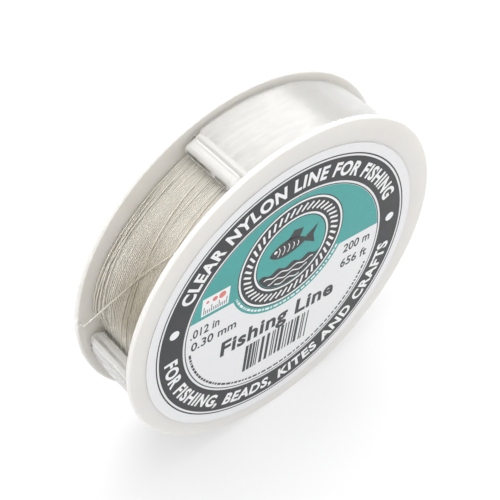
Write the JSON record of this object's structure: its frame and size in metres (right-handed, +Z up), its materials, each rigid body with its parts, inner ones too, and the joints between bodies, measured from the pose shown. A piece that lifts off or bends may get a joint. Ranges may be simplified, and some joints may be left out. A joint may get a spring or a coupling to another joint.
{
  "type": "fishing line spool",
  "caption": "Flanged spool of clear monofilament line with a turning C-shaped line cover, a hollow drum and a central arbor bore.",
  "frame": {"origin": "on the arbor bore's axis, at the middle of the width over the two flanges", "axes": "+Y along the bore, out of the rear flange; the label faces -Y; +Z up with the spool standing on its rims"},
  "size_m": [0.076, 0.0171, 0.076],
  "materials": {
    "flange_plastic": "milky translucent moulded plastic, satin",
    "drum_plastic": "milky translucent moulded plastic",
    "line": "clear drawn nylon, glossy",
    "cover_plastic": "clear springy plastic, glossy",
    "label_paper": "printed coated paper in dark grey, teal and white"
  },
  "bodies": {
    "spool": {"front_flange": "flange_plastic", "rear_flange": "flange_plastic", "drum": "drum_plastic", "line_winding": "line", "start_knot": "line", "line_tail": "line", "front_label": "label_paper"},
    "cover": {"line_cover": "cover_plastic"}
  },
  "joints": [
    {"name": "cover_turn", "type": "hinge", "parent": "spool", "child": "cover", "pos_m": [0, 0, 0], "axis": [0, 1, 0], "range_deg": [-15, 4]}
  ]
}
